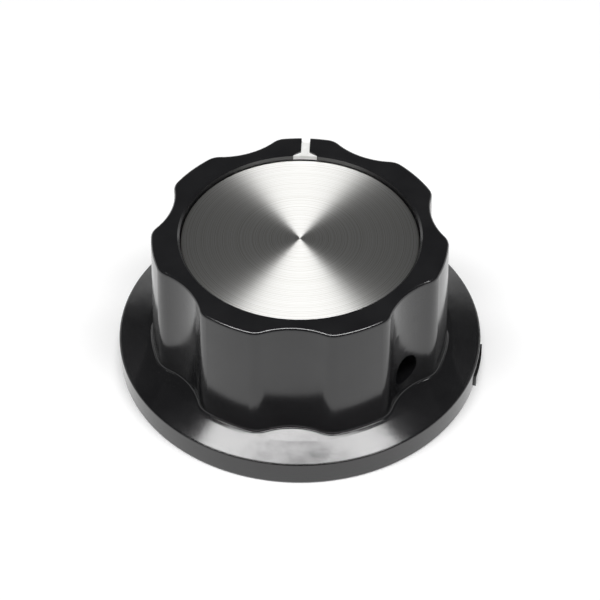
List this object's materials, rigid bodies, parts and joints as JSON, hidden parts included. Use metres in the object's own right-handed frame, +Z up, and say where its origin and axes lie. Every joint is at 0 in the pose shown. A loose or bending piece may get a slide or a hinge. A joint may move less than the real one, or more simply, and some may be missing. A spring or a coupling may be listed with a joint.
{
  "type": "fluted control knob",
  "caption": "Skirted control knob with a fluted grip, a turned metal disc on top, a white pointer line and a metal shaft insert held by a set screw.",
  "frame": {"origin": "on the knob's axis at the underside of the skirt, which rests on a panel or a table", "axes": "+Z up along the knob's axis towards the disc, +Y towards the pointer line, -Z the way the shaft leaves the bore"},
  "size_m": [0.0402, 0.04, 0.0172],
  "materials": {
    "moulded_body": "glossy black phenolic moulding with soft highlights",
    "turned_disc": "fine concentric turning marks",
    "brass_insert": "bright reamed bore and duller turned end",
    "brass_screw": "bright rolled thread",
    "pointer_paint": "white paint filled into the groove"
  },
  "bodies": {
    "knob": {"knob_body": "moulded_body", "cap_disc": "turned_disc", "shaft_insert": "brass_insert", "pointer_fill_top": "pointer_paint", "pointer_fill_side": "pointer_paint"},
    "screw": {"set_screw": "brass_screw"}
  },
  "joints": [
    {"name": "set_screw_travel", "type": "slide", "parent": "knob", "child": "screw", "axis": [-0.7818, 0.6235, 0], "range_m": [-0.001, 0.0035]}
  ]
}
